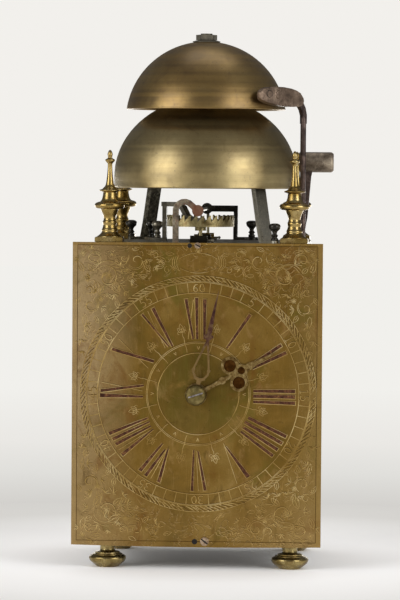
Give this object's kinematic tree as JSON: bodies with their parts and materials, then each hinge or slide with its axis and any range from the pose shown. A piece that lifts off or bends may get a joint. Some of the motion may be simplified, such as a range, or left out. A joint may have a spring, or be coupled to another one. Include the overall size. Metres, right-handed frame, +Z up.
{
  "type": "lantern clock",
  "caption": "Free-standing brass and iron lantern clock with a square dial, stacked bells with hammers, verge escapement, finials and feet",
  "frame": {"origin": "on the floor under the bells' axis, the middle of the outline seen from above", "axes": "+X to the right of someone who reads the dial, +Y to the back, +Z up"},
  "size_m": [0.1813, 0.1672, 0.3784],
  "materials": {
    "brass": "polished, lightly aged",
    "aged_brass": "dull, olive brown, engraved",
    "bell_metal": "turned, dull",
    "grey_iron": "worn, mottled grey",
    "black_iron": "black, waxed",
    "brown_iron": "brown, filed",
    "steel": "filed bright",
    "blued_steel": "blued, faded to purple"
  },
  "bodies": {
    "frame": {"bottom_plate": "grey_iron", "top_plate": "grey_iron", "pillars": "brass", "feet": "aged_brass", "finials": "brass", "back_plate": "aged_brass", "dial_plate": "aged_brass", "dial_screws": "steel", "lower_bell": "bell_metal", "upper_bell": "bell_metal", "bell_spacer": "grey_iron", "bell_washer": "grey_iron", "bell_nut": "grey_iron", "bell_strap": "grey_iron", "black_knobs": "black_iron", "bracket_knob": "grey_iron", "bracket_small_knob": "black_iron", "front_verge_cock": "grey_iron", "rear_verge_cock": "black_iron", "crown_bracket": "grey_iron", "lower_potence": "brass", "upper_hammer_spring": "steel", "lower_hammer_spring": "steel", "front_bar": "brass", "middle_bar": "brass", "rear_bar": "brass", "bar_pins": "grey_iron", "wheel_studs": "steel"},
    "going_train_great": {"going_great_wheel": "brass"},
    "going_pulley": {"going_rope_pulley": "brass"},
    "going_ratchet_click": {"going_click": "steel"},
    "centre": {"centre_wheel": "brass"},
    "contrate": {"contrate_wheel": "brass"},
    "crown": {"crown_wheel": "brass"},
    "minute_work": {"cannon_wheel": "brass", "minute_hand": "blued_steel", "hand_nut": "steel"},
    "minute_idler": {"minute_wheel": "brass"},
    "hour_work": {"hour_wheel": "brass", "hour_hand": "steel"},
    "pendulum": {"verge": "steel", "pendulum_rod": "steel", "pendulum_bob": "brass"},
    "strike_train_great": {"strike_great_wheel": "brass"},
    "strike_pulley": {"strike_rope_pulley": "brass"},
    "strike_ratchet_click": {"strike_click": "steel"},
    "hoop": {"hoop_wheel": "brass"},
    "warning": {"warning_wheel": "brass"},
    "fly_vane": {"fly": "brass"},
    "count": {"count_wheel": "brass"},
    "detent": {"detent_lever": "grey_iron"},
    "lifting": {"lifting_lever": "grey_iron"},
    "upper_hammer": {"upper_hammer_rod": "brown_iron", "upper_hammer_head": "brown_iron"},
    "lower_hammer": {"lower_hammer_arm": "brown_iron", "lower_hammer_head": "brown_iron"},
    "left_side_door": {"left_door": "aged_brass", "left_door_knob": "brass"},
    "right_side_door": {"right_door": "aged_brass", "right_door_knob": "brass"}
  },
  "joints": [
    {"name": "going_great_turn", "type": "hinge", "parent": "frame", "child": "going_train_great", "pos_m": [-0.0018, -0.017, 0.0752], "axis": [0, 1, 0], "continuous": true},
    {"name": "going_wind", "type": "hinge", "parent": "going_train_great", "child": "going_pulley", "pos_m": [-0.0018, -0.03, 0.0752], "axis": [0, 1, 0], "continuous": true},
    {"name": "going_click_lift", "type": "hinge", "parent": "going_train_great", "child": "going_ratchet_click", "pos_m": [0.02733, -0.019, 0.0858], "axis": [0, 1, 0], "range_deg": [0, 12], "stiffness_Nm_per_rad": 0.004, "springref_deg": -11.46},
    {"name": "centre_turn", "type": "hinge", "parent": "frame", "child": "centre", "pos_m": [-0.0018, -0.011, 0.1232], "axis": [0, 1, 0], "continuous": true},
    {"name": "contrate_turn", "type": "hinge", "parent": "frame", "child": "contrate", "pos_m": [-0.0018, -0.024, 0.1596], "axis": [0, 1, 0], "continuous": true},
    {"name": "crown_turn", "type": "hinge", "parent": "frame", "child": "crown", "pos_m": [-0.0018, -0.03, 0.244], "axis": [0, 0, 1], "continuous": true},
    {"name": "minute_turn", "type": "hinge", "parent": "frame", "child": "minute_work", "pos_m": [-0.0018, -0.07, 0.1232], "axis": [0, 1, 0], "continuous": true},
    {"name": "minute_idler_turn", "type": "hinge", "parent": "frame", "child": "minute_idler", "pos_m": [-0.0018, -0.063, 0.0944], "axis": [0, 1, 0], "continuous": true},
    {"name": "hour_turn", "type": "hinge", "parent": "frame", "child": "hour_work", "pos_m": [-0.0018, -0.068, 0.1232], "axis": [0, 1, 0], "continuous": true},
    {"name": "pendulum_swing", "type": "hinge", "parent": "frame", "child": "pendulum", "pos_m": [-0.0018, 0.06, 0.252], "axis": [0, 1, 0], "range_deg": [-18, 18]},
    {"name": "strike_great_turn", "type": "hinge", "parent": "frame", "child": "strike_train_great", "pos_m": [-0.0018, 0.009, 0.0752], "axis": [0, 1, 0], "continuous": true},
    {"name": "strike_wind", "type": "hinge", "parent": "strike_train_great", "child": "strike_pulley", "pos_m": [-0.0018, 0.025, 0.0752], "axis": [0, 1, 0], "continuous": true},
    {"name": "strike_click_lift", "type": "hinge", "parent": "strike_train_great", "child": "strike_ratchet_click", "pos_m": [0.02733, 0.014, 0.0858], "axis": [0, 1, 0], "range_deg": [0, 12], "stiffness_Nm_per_rad": 0.004, "springref_deg": -11.46},
    {"name": "hoop_turn", "type": "hinge", "parent": "frame", "child": "hoop", "pos_m": [-0.0018, 0.02, 0.1232], "axis": [0, 1, 0], "continuous": true},
    {"name": "warning_turn", "type": "hinge", "parent": "frame", "child": "warning", "pos_m": [-0.0018, 0.029, 0.1529], "axis": [0, 1, 0], "continuous": true},
    {"name": "fly_turn", "type": "hinge", "parent": "frame", "child": "fly_vane", "pos_m": [-0.0018, 0.036, 0.1753], "axis": [0, 1, 0], "continuous": true},
    {"name": "count_turn", "type": "hinge", "parent": "frame", "child": "count", "pos_m": [-0.0018, 0.053, 0.1053], "axis": [0, 1, 0], "continuous": true},
    {"name": "detent_lift", "type": "hinge", "parent": "frame", "child": "detent", "pos_m": [-0.0408, 0.02, 0.1502], "axis": [0, 1, 0], "range_deg": [-5, 0]},
    {"name": "lifting_lift", "type": "hinge", "parent": "frame", "child": "lifting", "pos_m": [-0.0408, 0, 0.1122], "axis": [0, 1, 0], "range_deg": [-6, 0]},
    {"name": "upper_hammer_swing", "type": "hinge", "parent": "frame", "child": "upper_hammer", "pos_m": [0.0704, -0.014, 0.23], "axis": [0, 0, 1], "range_deg": [-0.5, 14], "stiffness_Nm_per_rad": 0.2},
    {"name": "lower_hammer_swing", "type": "hinge", "parent": "frame", "child": "lower_hammer", "pos_m": [0.06, 0.005, 0.2142], "axis": [0, 1, 0], "range_deg": [-1, 7], "stiffness_Nm_per_rad": 0.3, "springref_deg": -1.15},
    {"name": "left_door_swing", "type": "hinge", "parent": "frame", "child": "left_side_door", "pos_m": [-0.0734, 0.06, 0.124], "axis": [0, 0, 1], "range_deg": [-100, 0]},
    {"name": "right_door_swing", "type": "hinge", "parent": "frame", "child": "right_side_door", "pos_m": [0.0734, 0.06, 0.124], "axis": [0, 0, 1], "range_deg": [0, 100]}
  ],
  "couplings": [
    {"joint": "centre_turn", "follows": "going_great_turn", "ratio": -8},
    {"joint": "contrate_turn", "follows": "going_great_turn", "ratio": 96},
    {"joint": "crown_turn", "follows": "going_great_turn", "ratio": -1056},
    {"joint": "minute_turn", "follows": "going_great_turn", "ratio": -8},
    {"joint": "minute_idler_turn", "follows": "going_great_turn", "ratio": 4},
    {"joint": "hour_turn", "follows": "going_great_turn", "ratio": -0.66667},
    {"joint": "hoop_turn", "follows": "strike_great_turn", "ratio": -8},
    {"joint": "warning_turn", "follows": "strike_great_turn", "ratio": 80},
    {"joint": "fly_turn", "follows": "strike_great_turn", "ratio": -666.67},
    {"joint": "count_turn", "follows": "strike_great_turn", "ratio": -0.10256}
  ]
}
